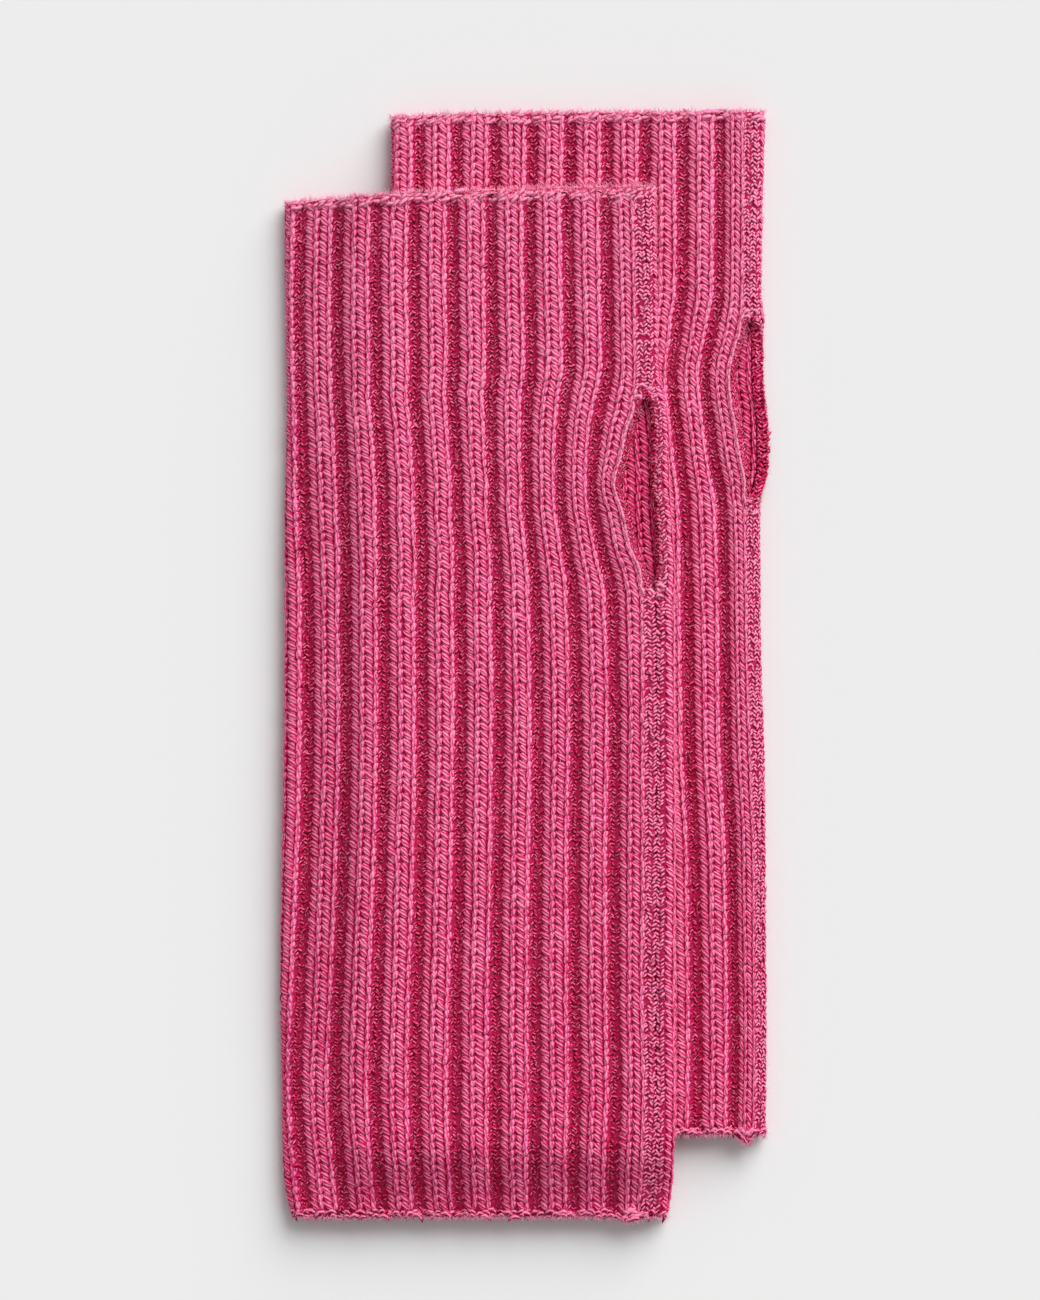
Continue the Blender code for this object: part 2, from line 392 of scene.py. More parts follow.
# Each wool: how strongly its plies differ, how far it leans towards crimson, and its relief
WOOLS = {
    # the knit stitches' left legs, with the plies straight across them
    "knit": (0.66, -0.02, 0.45),
    # the right legs, whose plies run with them: a copy of the knit wool painted paler and with
    # fainter plies, a painted highlight where they lie along the light and catch it
    "soft": (0.34, -0.08, 0.35),
    # the seam's stripe and the wrist hem, where the rows are packed close, in a paler wool; on the
    # wrist hem the paleness is partly painted light against the shade on its lower edge
    "seam": (0.34, -0.38, 0.3),
    # the bound-off hem, the slit's ties and its near lip's ridge: fuzzy, and painted pale, partly
    # for the fuzz and partly as a painted highlight where they catch the light
    "fuzzy_lit": (0.24, -1.00, 0.4),
    # the inner side seen through the slit, where little light gets in
    "inner": (0.60, 0.18, 0.5),
    # the purl bumps and the slit's lips, which lie deeper: painted darker and redder, as painted
    # shade
    "purl": (0.60, 0.10, 0.4),
}

# The stage, in metres: half the table's width, how far it lies under the warmers so that the two
# surfaces don't fight, where the picture's middle falls on it, and how far the camera sees
TABLE_REACH = 2.0
TABLE_DROP = 0.3 * MM
PICTURE_MIDDLE = (-0.9 * MM, 3.8 * MM)
FARTHEST_SEEN = 10.0


def linear(colour):
    """Turn an sRGB hex colour into the linear values that shaders use."""
    parts = [int(colour[i:i + 2], 16) / 255 for i in (0, 2, 4)]
    return tuple(c / 12.92 if c <= 0.04045 else ((c + 0.055) / 1.055) ** 2.4 for c in parts)


class KnitSettings(bpy.types.PropertyGroup):
    """Sizes and colours of the knitting."""
    course: bpy.props.FloatProperty(
        name="Row height", description="Height of one row of stitches",
        default=2.05 * MM, unit="LENGTH")
    column: bpy.props.FloatProperty(
        name="Column width", description="Width of one column of knit stitches",
        default=3.73 * MM, unit="LENGTH")
    ply_pitch: bpy.props.FloatProperty(
        name="Ply spacing", description="Distance between the plies that show on the yarn",
        default=0.95 * MM, unit="LENGTH")
    ply_angle: bpy.props.FloatProperty(
        name="Ply twist", description="Angle of the plies to the yarn",
        default=math.radians(26), subtype="ANGLE")
    looseness: bpy.props.FloatProperty(
        name="Looseness", description="How unevenly the stitches sit, as a share of their size",
        default=0.07, subtype="FACTOR")
    hair_length: bpy.props.FloatProperty(
        name="Fuzz length", description="Length of a usual loose fibre",
        default=1.15 * MM, unit="LENGTH")
    hair_width: bpy.props.FloatProperty(
        name="Fuzz width", description="Width of a loose fibre",
        default=0.10 * MM, unit="LENGTH")
    hairs: bpy.props.IntProperty(
        name="Fuzz count", description="Loose fibres on each warmer", default=15000)
    light: bpy.props.FloatVectorProperty(
        name="Light wool", description="The palest fibres", size=3, subtype="COLOR",
        default=linear("FF93B9"))
    pink: bpy.props.FloatVectorProperty(
        name="Pink wool", description="The main pink", size=3, subtype="COLOR",
        default=linear("DC5A8D"))
    rose: bpy.props.FloatVectorProperty(
        name="Rose wool", description="The shaded side of the plies", size=3, subtype="COLOR",
        default=linear("CE306A"))
    # Deep is also the painted shade in the gaps between the plies and along the strands' edges
    deep: bpy.props.FloatVectorProperty(
        name="Deep wool", description="The gaps between the plies", size=3, subtype="COLOR",
        default=linear("C60F48"))
    # The ground's colour, darker than the stitches: painted shade between them
    core: bpy.props.FloatVectorProperty(
        name="Ground wool", description="The yarn behind the stitches", size=3,
        subtype="COLOR", default=linear("A82250"))
    haze: bpy.props.FloatVectorProperty(
        name="Loose fibres", description="Single fibres, which let light through", size=3,
        subtype="COLOR", default=linear("FFA6C6"))


class StageSettings(bpy.types.PropertyGroup):
    """Sizes and colours of the stage."""
    camera_height: bpy.props.FloatProperty(
        name="Camera height", description="Height of the camera over the table",
        default=1.6, unit="LENGTH")
    frame_height: bpy.props.FloatProperty(
        name="Frame height", description="Length of table that the picture shows",
        default=0.3458, unit="LENGTH")
    key_turn: bpy.props.FloatProperty(
        name="Key direction", description="Direction of the key light round from the right",
        default=math.radians(58), subtype="ANGLE")
    key_rise: bpy.props.FloatProperty(
        name="Key height", description="Height of the key light over the table",
        default=math.radians(31), subtype="ANGLE")
    key_spread: bpy.props.FloatProperty(
        name="Key softness", description="How wide the key light looks from the table",
        default=math.radians(50), subtype="ANGLE")
    key_share: bpy.props.FloatProperty(
        name="Key share", description="Share of the table's light that comes from the key",
        default=0.62, subtype="FACTOR")
    floor: bpy.props.FloatVectorProperty(
        name="Table", description="Pale table top", size=3, subtype="COLOR",
        default=linear("EDEDED"))


def along_table(rows, column, at):
    """Read one column of a table at the given places, on a smooth curve that never overshoots."""
    table = np.array(rows, dtype=float)
    place, value = table[:, 0], table[:, column]
    step = np.diff(place)
    rise = np.diff(value) / step
    slope = np.concatenate(([rise[0]], np.zeros(len(step) - 1), [rise[-1]]))
    same_way = rise[:-1] * rise[1:] > 0
    total = np.where(same_way, rise[:-1] + rise[1:], 1.0)
    slope[1:-1] = np.where(same_way, 2 * rise[:-1] * rise[1:] / total, 0.0)
    at = np.clip(at, place[0], place[-1])
    row = np.clip(np.searchsorted(place, at, side="right") - 1, 0, len(step) - 1)
    t = (at - place[row]) / step[row]
    return ((1 + 2 * t) * (1 - t) ** 2 * value[row] + t * (1 - t) ** 2 * step[row] * slope[row]
            + t ** 2 * (3 - 2 * t) * value[row + 1] + t ** 2 * (t - 1) * step[row] * slope[row + 1])


def ease(value, start, end):
    """Rise smoothly from 0 at start to 1 at end."""
    t = np.clip((value - start) / (end - start), 0.0, 1.0)
    return t * t * (3 - 2 * t)


def rib_place(warmer, rib, down):
    """Return how far round the tube from the right fold's top a rib coordinate lies.

    It also returns the right fold's place and the flat width, which the way round depends on,
    and how far the slit lifts the cloth. rib is 0 at the seam's near lip, a whole number in each
    groove and RIBS at the far lip. Where the slit is open, the near lip's stripe of purl curls
    on past the last rib and down into it.
    """
    columns = [along_table(warmer["outline"], i, down) for i in range(1, 6)]
    left, right, groove_9, groove_1, seam = columns
    near, far, lip_lift = [along_table(warmer["slit"], i, down) for i in range(1, 4)]
    near_place = seam + np.maximum(near, SEWN_GAP)
    fold_x = right - RIB_WALL - HALF_GAP
    flat = fold_x - (left + RIB_WALL + HALF_GAP)
    round_trip = 2 * flat + 2 * np.pi * FOLD_RADIUS
    far_place = round_trip + seam - np.maximum(far, SEWN_GAP)
    share = np.clip((rib - NEAR_GROOVE) / (FAR_GROOVE - NEAR_GROOVE), 0.0, 1.0)
    evenly = share - CROWDING * near * share * (1 - share)
    place = fold_x - (groove_1 + (groove_9 - groove_1) * evenly)
    opened = ease(near, 0.0, WIDE_OPEN)
    first_width = fold_x - groove_1 - near_place
    closed = near_place + first_width * rib
    past = np.clip(1 - rib / SEAM_STRIPE, 0.0, CURL_LIMIT)
    on_rib = near_place + first_width * (rib - SEAM_STRIPE) / (1 - SEAM_STRIPE)
    curled = np.where(rib < SEAM_STRIPE, near_place - CURL_WIDTH * opened * past, on_rib)
    first = closed + (curled - closed) * opened
    last_width = far_place - fold_x + groove_9
    last = fold_x - groove_9 + last_width * (rib - FAR_GROOVE) / (RIBS - FAR_GROOVE)
    place = np.where(rib < NEAR_GROOVE, first, np.where(rib > FAR_GROOVE, last, place))
    lift = lip_lift * (np.exp(-np.abs(place - near_place) / LIP_REACH)
                       + FAR_LIFT * np.exp(-np.abs(far_place - place) / LIP_REACH))
    curl = CURL_DROP * opened * past ** CURL_STEEPNESS
    lift -= np.where(rib < SEAM_STRIPE, curl, 0.0)
    lift -= FAR_DROP * opened * np.exp(-np.abs(far_place - place) / FAR_REACH)
    return place, fold_x, flat, lift


def wall_line(warmer, rib, down):
    """Return the inner face's x, y and z, and the way out of the cloth in x and z."""
    place, fold_x, flat, lift = rib_place(warmer, rib, down)
    half_turn = np.pi * FOLD_RADIUS
    place = np.where(place < 0, place + 2 * flat + 2 * half_turn, place)
    on_top = place < flat
    on_left = (place >= flat) & (place < flat + half_turn)
    below = (place >= flat + half_turn) & (place < 2 * flat + half_turn)
    past_left = (place - flat) / FOLD_RADIUS
    past_right = (place - 2 * flat - half_turn) / FOLD_RADIUS
    turn = np.select([on_top, on_left, below], [0.0, past_left, np.pi], np.pi + past_right)
    line_x = np.select(
        [on_top, on_left, below],
        [fold_x - place, fold_x - flat, fold_x - 2 * flat - half_turn + place], fold_x)
    out_x, out_z = -np.sin(turn), np.cos(turn)
    x = line_x + out_x * HALF_GAP
    z = FLAT_WALL + HALF_GAP + out_z * HALF_GAP + lift
    back = 0.5 - 0.5 * out_z
    share = down / LENGTH
    corner = warmer["edge_corner"] * np.exp(-(x - warmer["outline"][0][1]) / CORNER_REACH)
    rise = warmer["back_rise"] * back * ease(x, *BACK_RISE_ACROSS)
    top = warmer["finger_edge"] + warmer["edge_slope"] * x - corner + rise
    y = top + (warmer["wrist_edge"] - top) * share
    knot, drop = warmer["knot"]
    pull = ease(down, LENGTH - KNOT_PULL, LENGTH)
    y = y - drop * np.exp(-((rib - knot) / KNOT_WIDTH) ** 2) * pull
    z = z + warmer["lift"] * ease(x, *DOWN_AT_LEFT) * ease(y, *DOWN_AT_WRIST)
    return x + CENTRE[0], y + CENTRE[1], z, out_x, out_z


def rib_relief(rib):
    """Return how far up a rib's side or crest a rib coordinate lies, from 0 in a groove to 1."""
    number = np.clip(np.floor(rib), 0, RIBS - 1)
    start = np.where(number == 0, SEAM_STRIPE - STRIPE_LAP, 0.5 - RIB_SHOULDER)
    end = np.where(number == RIBS - 1, 1 - SEAM_STRIPE + STRIPE_LAP, 0.5 + RIB_SHOULDER)
    aside = np.abs(2 * (rib - number) - start - end) / (end - start)
    return np.sqrt(np.clip(1 - np.clip(aside, 0.0, 1.0) ** RIB_ROUNDNESS, 0.0, 1.0))


def on_stripe(rib):
    """Return which rib coordinates lie on the seam's stripe."""
    return (rib < SEAM_STRIPE) | (rib > RIBS - SEAM_STRIPE)


def cloth_face(rib, down, out_z):
    """Return how far the cloth's outer face stands over its inner one: ribbed, but flat below."""
    ribbed = GROOVE_WALL + (RIB_WALL - GROOVE_WALL) * rib_relief(rib)
    ribbed = np.where(on_stripe(rib), np.maximum(ribbed, SEAM_WALL), ribbed)
    edge = np.minimum(down, LENGTH - down)
    hem = 1 - ease(edge, *EDGE_BAND)
    ribbed += (EDGE_WALL - ribbed) * EDGE_EVENNESS * hem
    pressed = FLAT_WALL - PRESSED_GROOVE * (1 - rib_relief(rib))
    return pressed + (ribbed - pressed) * ease(out_z, -1.0, 0.0)


def get_points(mesh):
    """Return a mesh's points as rows of x, y, z."""
    points = np.empty(len(mesh.vertices) * 3, np.float32)
    mesh.vertices.foreach_get("co", points)
    return points.reshape(-1, 3).astype(float)


def set_points(mesh, points):
    """Move a mesh's points."""
    mesh.vertices.foreach_set("co", points.astype(np.float32).ravel())
    mesh.update()


def new_mesh(name, form):
    """Return a new mesh of the given form, which is freed."""
    mesh = bpy.data.meshes.new(name)
    form.to_mesh(mesh)
    form.free()
    return mesh


def new_object(name, data):
    """Return a new object of the given data, linked to the scene."""
    item = bpy.data.objects.new(name, data)
    bpy.context.scene.collection.objects.link(item)
    return item


def strand(name, line, shape):
    """Make one short strand of yarn, pointed at both ends, and unroll its map in millimetres.

    A flat grid, one row of faces for each step of the line, is rolled into a tube that is rounded
    on top and flat underneath. The pointed ends and the seam are then welded shut. Its crest value
    runs from 0 along the strand's edges to 1 along its crest, from which the wool paints shade
    along the edges and a highlight on the crest.
    """
    height, sides = shape
    points = np.array(line)[:, :3]
    half_widths = np.array(line)[:, 3]
    ahead = np.gradient(points, axis=0)
    ahead /= np.linalg.norm(ahead[:, :2], axis=1)[:, None]
    across = np.stack((ahead[:, 1], -ahead[:, 0]), axis=1)
    gone = np.concatenate(([0.0], np.cumsum(np.linalg.norm(np.diff(points, axis=0), axis=1))))
    steps = len(line) - 1
    form = bmesh.new()
    yarn_map = form.loops.layers.uv.new(YARN_MAP)
    shade_crown = form.verts.layers.float.new(SHADE_CROWN)
    bmesh.ops.create_grid(form, x_segments=sides, y_segments=steps, size=0.5, calc_uvs=True)
    girth = np.pi * half_widths.max()
    places = {}
    for vertex in form.verts:
        side = round((vertex.co.x + 0.5) * sides)
        step = round((vertex.co.y + 0.5) * steps)
        places[vertex.index] = (side, step)
        turn = math.pi * (side % sides) / (sides - 1)
        out = math.sin(turn) * half_widths[step] * height
        over = -math.cos(turn) * half_widths[step]
        # 0 at the edges, where the wool paints shade, and 1 on the crest, where it paints a
        # highlight
        vertex[shade_crown] = math.sin(turn) if half_widths[step] else 0.0
        vertex.co = (points[step, 0] + across[step, 0] * over,
                     points[step, 1] + across[step, 1] * over, points[step, 2] + out)
    for face in form.faces:
        for corner in face.loops:
            side, step = places[corner.vert.index]
            corner[yarn_map].uv = (girth * side / (sides - 1), gone[step])
        face.smooth = True
    bmesh.ops.remove_doubles(form, verts=form.verts, dist=WELD)
    bmesh.ops.recalc_face_normals(form, faces=form.faces)
    return new_mesh(name, form)


def repeated(mesh, counts, steps):
    """Repeat a mesh along the given steps, and return the new mesh, copy after copy."""
    item = new_object("pattern", mesh)
    for count, step in zip(counts, steps):
        array = item.modifiers.new("Repeat", "ARRAY")
        array.count = count
        array.use_relative_offset = False
        array.use_constant_offset = True
        array.constant_offset_displace = step
    graph = bpy.context.evaluated_depsgraph_get()
    result = bpy.data.meshes.new_from_object(item.evaluated_get(graph))
    bpy.data.objects.remove(item)
    return result


def add_yarn_maps(mesh, copies, lots):
    """Give each copy of a strand its own cell to bake into, and its own random numbers."""
    corners = len(mesh.loops) // copies
    uv = np.empty(len(mesh.loops) * 2, np.float32)
    mesh.uv_layers[YARN_MAP].uv.foreach_get("vector", uv)
    uv = uv.reshape(-1, 2)
    low, high = uv[:corners].min(0), uv[:corners].max(0)
    cells = math.ceil(math.sqrt(copies))
    copy = np.repeat(np.arange(copies), corners)
    cell = np.stack((copy % cells, copy // cells), axis=1)
    inside = CELL_MARGIN + (1 - 2 * CELL_MARGIN) * (uv - low) / (high - low)
    baked = (cell + inside) / cells
    layer = mesh.uv_layers.new(name=BAKE_MAP)
    layer.uv.foreach_set("vector", baked.astype(np.float32).ravel())
    spots = len(mesh.vertices) // copies
    drawn = np.repeat(lots, spots, axis=0)
    attribute = mesh.attributes.new(STITCH, "FLOAT_VECTOR", "POINT")
    attribute.data.foreach_set("vector", drawn.astype(np.float32).ravel())


def lay_down(warmer, mesh, rib, down, height):
    """Lay points onto a warmer from rib coordinates, rows down and heights over its inner face."""
    x, y, z, out_x, out_z = wall_line(warmer, rib, down)
    z = np.maximum(z + height * out_z, 0.0)
    set_points(mesh, np.stack((x + height * out_x, y, z), axis=1) * MM)


def finish_piece(name, mesh, material):
    """Link a piece, finish it in wool and let it ride on the warmers' body."""
    mesh.materials.clear()
    mesh.materials.append(material)
    mesh.shade_smooth()
    item = new_object(name, mesh)
    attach(item, BODY)
    return item


def drift(rng, rows, columns):
    """Return a slow random drift down each column."""
    turns = rows // DRIFT_ROWS + 2
    at = np.arange(rows) / DRIFT_ROWS
    marks = rng.uniform(-DRIFT, DRIFT, (columns, turns))
    return np.array([np.interp(at, np.arange(turns), mark) for mark in marks]).T


def stitch_rows(settings):
    """Return how far down the middle of each row of stitches lies, in millimetres."""
    course = settings.course / MM
    return course * (np.arange(round(LENGTH / course) - 1) + FIRST_ROW)


def close_rows(settings):
    """Return how far down each row lies where there are two to a row of stitches."""
    course = settings.course / MM
    return np.arange(course, LENGTH - course / 2, course / 2)


def beside_slit(warmer, rows):
    """Return which rows lie beside the open slit."""
    return (rows > warmer["slit"][0][0]) & (rows < warmer["slit"][-1][0])


def add_strands(warmer, name, line, shape, places, rows, settings, wool,
                origin=0.0, loose=1.0, side="face"):
    """Knit copies of one strand, at places round the warmer and rows down it.

    Each place is a rib coordinate and the ribs that one millimetre takes, for a strand whose
    points are measured from there and from origin. Ribs are counted from right to left, so a
    negative width turns the strand over, as the warmer's inner side needs. A strand on the rim
    stands up over the wall's end instead, and reaches out beyond it. One on the far lip's end
    does the same beside the slit, and its place is a height.
    """
    rng = np.random.default_rng([warmer["seed"], *name.encode()])
    proto = strand(name, line, shape)
    local = get_points(proto)
    copies = len(rows) * len(places)
    mesh = repeated(proto, (len(places), len(rows)), ((RIB_PITCH, 0, 0), (0, -RIB_PITCH, 0)))
    middle_down = np.repeat(np.array(rows), len(places))
    edge = np.tile([place[0] for place in places], len(rows))
    width = np.tile([place[1] for place in places], len(rows))
    slow = drift(rng, len(rows), len(places)).ravel()
    add_yarn_maps(mesh, copies, rng.uniform(0, LOT_RANGE, (copies, 3)))
    turn, size, aside, up, out = rng.normal(size=(5, copies, 1)) * settings.looseness * loose
    middle = local.mean(0)
    ahead = np.tile(local[:, :2] - middle[:2], (copies, 1)).reshape(copies, -1, 2)
    across = (ahead[:, :, 0] - ahead[:, :, 1] * turn * TURNED) * (1 + size * STRETCHED)
    along = (ahead[:, :, 1] + ahead[:, :, 0] * turn * TURNED) * (1 + size * STRETCHED)
    across += middle[0] + aside * MOVED_ACROSS + slow[:, None] - origin
    along += middle[1] + up * MOVED_ALONG
    out = (local[:, 2] + out).ravel()
    rib = (edge[:, None] - across * width[:, None]).ravel()
    down = (middle_down[:, None] - along).ravel()
    if side == "inner":
        height = -out - INNER_LIFT
    elif side == "rim":
        height = EDGE_WALL / 2 + along.ravel()
        over = np.sign(middle_down - LENGTH / 2)
        down = (middle_down[:, None] + over[:, None] * out.reshape(copies, -1)).ravel()
    elif side == "lip":
        height, rib = rib, RIBS + (out + LIP_SLOPE * (SEAM_WALL - rib)) / RIB_PITCH
    else:
        height = cloth_face(rib, down, wall_line(warmer, rib, down)[4]) + out
    lay_down(warmer, mesh, rib, down, height)
    finish_piece(f"{warmer['name']}_{name}", mesh, wool)


def rib_columns(ribs, settings):
    """Return the left edge and the ribs per millimetre of each column of knit stitches."""
    places = []
    for rib in ribs:
        start = SEAM_STRIPE if rib == 0 else RIB_START
        end = 1 - SEAM_STRIPE if rib == RIBS - 1 else RIB_END
        share = (end - start) / COLUMNS
        for column in range(COLUMNS):
            places.append((rib + end - column * share, share / (settings.column / MM)))
    return places


def add_node(tree, kind, links=None, **settings):
    """Add a shader node with its settings; links give its inputs a value or another's output."""
    node = tree.nodes.new(kind)
    for key, value in settings.items():
        setattr(node, key, value)
    for key, value in (links or {}).items():
        if isinstance(value, bpy.types.NodeSocket):
            tree.links.new(value, node.inputs[key])
        else:
            node.inputs[key].default_value = value
    return node


def set_ramp(node, stops):
    """Set a colour ramp's stops from places and linear colours."""
    ramp = node.color_ramp
    while len(ramp.elements) < len(stops):
        ramp.elements.new(0.5)
    for element, (place, colour) in zip(ramp.elements, stops):
        element.position = place
        element.color = (*colour, 1.0)


def new_material(name):
    """Return an empty material, its tree and its output node."""
    material = bpy.data.materials.new(name)
    material.use_nodes = True
    tree = material.node_tree
    tree.nodes.clear()
    return material, tree, add_node(tree, "ShaderNodeOutputMaterial")


def marled_wool(name, settings, marl, lean, relief):
    """Carded wool yarn of soft plies, heather-dyed: matt, marled from crimson to pale pink.

    The plies cross each strand at a slant, so every stitch shows two or three pale strokes with
    dark gaps, and coarser fibres run along them. The strokes are partly the yarn's marl and partly
    painted shade in the gaps between the plies. Light that gets in between the strands comes out
    redder, and this is painted in: each strand is painted crimson along its edges as painted
    shade, and pale on its crest as a painted highlight. The dye lies in blotches. The yarn is
    painted a shade deeper towards the wrist, as painted shade where the light falls off down the
    table. marl is how strongly the plies differ, lean shifts the whole yarn towards crimson, and
    relief is how strongly plies and fibres stand out. Real ones are too fine to show from above,
    so they are drawn coarser.
    """
    material, tree, output = new_material(name)
    unrolled = add_node(tree, "ShaderNodeUVMap", uv_map=YARN_MAP)
    drawn = add_node(tree, "ShaderNodeAttribute", attribute_name=STITCH)
    # The crest value, from which each strand gets painted shade along its edges and a painted
    # highlight on its crest
    shade_crown = add_node(tree, "ShaderNodeAttribute", attribute_name=SHADE_CROWN)
    moved = add_node(tree, "ShaderNodeVectorMath", {0: unrolled.outputs[0], 1: drawn.outputs[1]},
                     operation="ADD")
    turned = add_node(tree, "ShaderNodeMapping", {
        "Vector": moved.outputs[0], "Rotation": (0, 0, -settings.ply_angle)})
    pitch = settings.ply_pitch / MM
    plies = add_node(tree, "ShaderNodeTexWave", {
        "Vector": turned.outputs[0], "Scale": WAVE_LENGTH / pitch, "Distortion": 1.6,
        "Detail": 1.0, "Detail Scale": 1.2}, wave_type="BANDS", bands_direction="X")
    stretched = add_node(tree, "ShaderNodeMapping", {
        "Vector": turned.outputs[0], "Scale": FIBRE_CELLS})
    fibres = add_node(tree, "ShaderNodeTexNoise", {
        "Vector": stretched.outputs[0], "Scale": 1.0, "Detail": 3.0, "Roughness": 0.7})
    place = add_node(tree, "ShaderNodeTexCoord")
    blotches = add_node(tree, "ShaderNodeTexNoise", {
        "Vector": place.outputs["Object"], "Scale": BLOTCH_CELLS, "Detail": 3.0,
        "Roughness": 0.6})
    dyed = add_node(tree, "ShaderNodeSeparateXYZ", {0: drawn.outputs[1]})
    # The way up the table, from which the yarn gets painted shade that deepens towards the wrist
    along = add_node(tree, "ShaderNodeSeparateXYZ", {0: place.outputs["Object"]})
    # What makes the yarn paler, and how much: its own dye lot, blotches of dye, fibres, plies
    # (partly painted shade in their gaps), the crest of the strand (painted shade at its edges, a
    # painted highlight on top) and the way up the table (painted shade towards the wrist)
    parts = ((dyed.outputs[2], 0.014), (blotches.outputs["Fac"], 0.34),
             (fibres.outputs["Fac"], 1.3), (plies.outputs["Fac"], marl),
             (shade_crown.outputs["Fac"], 0.95), (along.outputs[1], 0.60))
    total = MARL_START - 0.5 * marl - lean
    for value, weight in parts:
        added = add_node(tree, "ShaderNodeMath", {0: value, 1: weight, 2: total},
                         operation="MULTIPLY_ADD")
        total = added.outputs[0]
    colour = add_node(tree, "ShaderNodeValToRGB", {"Fac": total})
    set_ramp(colour, ((0.16, settings.deep), (0.38, settings.rose), (0.58, settings.pink),
                      (0.84, settings.light)))
    bump = add_node(tree, "ShaderNodeBump", {
        "Height": total, "Strength": relief, "Distance": 0.35 * MM})
    shader = add_node(tree, "ShaderNodeBsdfPrincipled", {
        "Base Color": colour.outputs[0], "Normal": bump.outputs[0], "Roughness": 0.95,
        "IOR": 1.54, "Specular IOR Level": 0.10, "Sheen Weight": 0.08,
        "Sheen Roughness": 0.5, "Sheen Tint": (*settings.pink, 1.0)})
    tree.links.new(shader.outputs[0], output.inputs["Surface"])
    return material


def shaded_wool_core(name, settings):
    """Spun wool yarn behind the stitches: matt, with fine rows on its inner face, and painted a
    darker crimson than the stitches as the shade that falls between them.
    """
    material, tree, output = new_material(name)
    unrolled = add_node(tree, "ShaderNodeUVMap", uv_map=YARN_MAP)
    rows = add_node(tree, "ShaderNodeTexWave", {
        "Vector": unrolled.outputs[0], "Scale": WAVE_LENGTH * MM / settings.course,
        "Distortion": 2.0, "Detail": 2.0, "Detail Scale": 1.5},
        wave_type="BANDS", bands_direction="Y")
    fibres = add_node(tree, "ShaderNodeTexNoise", {
        "Vector": unrolled.outputs[0], "Scale": GROUND_CELLS, "Detail": 4.0,
        "Roughness": 0.65})
    mixed = add_node(tree, "ShaderNodeMath", {
        0: rows.outputs["Fac"], 1: 0.4, 2: fibres.outputs["Fac"]}, operation="MULTIPLY_ADD")
    colour = add_node(tree, "ShaderNodeValToRGB", {"Fac": mixed.outputs[0]})
    set_ramp(colour, ((0.40, settings.deep), (0.75, settings.core)))
    bump = add_node(tree, "ShaderNodeBump", {
        "Height": mixed.outputs[0], "Strength": 0.6, "Distance": 0.4 * MM})
    shader = add_node(tree, "ShaderNodeBsdfPrincipled", {
        "Base Color": colour.outputs[0], "Normal": bump.outputs[0], "Roughness": 0.95,
        "IOR": 1.54, "Specular IOR Level": 0.1})
    tree.links.new(shader.outputs[0], output.inputs["Surface"])
    return material


def wool_fuzz(name, settings):
    """Loose wool fibres that stand off the yarn: thin, pale and soft, a halo round the edges.

    Real ones are a quarter as thick, too fine to show, so they are drawn coarser.
    """
    material, tree, output = new_material(name)
    drawn = add_node(tree, "ShaderNodeAttribute", attribute_name=STITCH)
    dyed = add_node(tree, "ShaderNodeSeparateXYZ", {0: drawn.outputs[1]})
    share = add_node(tree, "ShaderNodeMath", {0: dyed.outputs[0], 1: 1 / LOT_RANGE},
                     operation="MULTIPLY")
    colour = add_node(tree, "ShaderNodeValToRGB", {"Fac": share.outputs[0]})
    set_ramp(colour, ((0.0, settings.light), (0.6, settings.haze)))
    shader = add_node(tree, "ShaderNodeBsdfPrincipled", {
        "Base Color": colour.outputs[0], "Roughness": 0.8, "IOR": 1.54,
        "Specular IOR Level": 0.3, "Sheen Weight": 0.5, "Sheen Roughness": 0.4,
        "Sheen Tint": (*settings.haze, 1.0)})
    tree.links.new(shader.outputs[0], output.inputs["Surface"])
    return material


def get_material(name, make, *values):
    """Return a material by name, made on first use."""
    return bpy.data.materials.get(name) or make(name, *values)


def get_wool(kind, settings):
    """Return the marled wool of one kind of stitch."""
    return get_material(f"marled_wool_{kind}", marled_wool, settings, *WOOLS[kind])


def add_wall(warmer, settings):
    """Model the warmer's knitted ground: a closed wall with open ends and an open thumb slit."""
    sections = round(LENGTH * MM / settings.course / 2)
    form = bmesh.new()
    yarn_map = form.loops.layers.uv.new(YARN_MAP)
    layer = form.verts.layers.int.new("outer")
    bmesh.ops.create_grid(form, x_segments=RIBS * GROUND_FACES, y_segments=sections, size=0.5)
    for face in form.faces:
        for corner in face.loops:
            spot = corner.vert.co
            corner[yarn_map].uv = (spot.x * RIBS * RIB_PITCH, spot.y * LENGTH)
        face.smooth = True
    front = list(form.faces)
    lifted = bmesh.ops.extrude_face_region(form, geom=front, use_keep_orig=True)
    for part in lifted["geom"]:
        if isinstance(part, bmesh.types.BMVert):
            part[layer] = 1
    mesh = new_mesh("ground", form)
    points = get_points(mesh)
    outer = np.empty(len(mesh.vertices), np.int32)
    mesh.attributes["outer"].data.foreach_get("value", outer)
    rib = (0.5 - points[:, 0]) * RIBS
    down = (0.5 - points[:, 1]) * LENGTH
    x, y, z, out_x, out_z = wall_line(warmer, rib, down)
    depth = np.where(on_stripe(rib), STRIPE_DEPTH, GROUND_DEPTH)
    height = np.maximum(cloth_face(rib, down, out_z) - depth, THINNEST_WALL) * outer
    z = np.maximum(z + height * out_z, TABLE_GAP)
    set_points(mesh, np.stack((x + height * out_x, y, z), axis=1) * MM)
    form = bmesh.new()
    form.from_mesh(mesh)
    bmesh.ops.recalc_face_normals(form, faces=form.faces)
    form.to_mesh(mesh)
    form.free()
    # The ground is painted darker than the stitches: painted shade in the gaps between them
    item = finish_piece(f"{warmer['name']}_knit_ground", mesh,
                        get_material("shaded_wool_ground", shaded_wool_core, settings))
    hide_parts(warmer["node"])


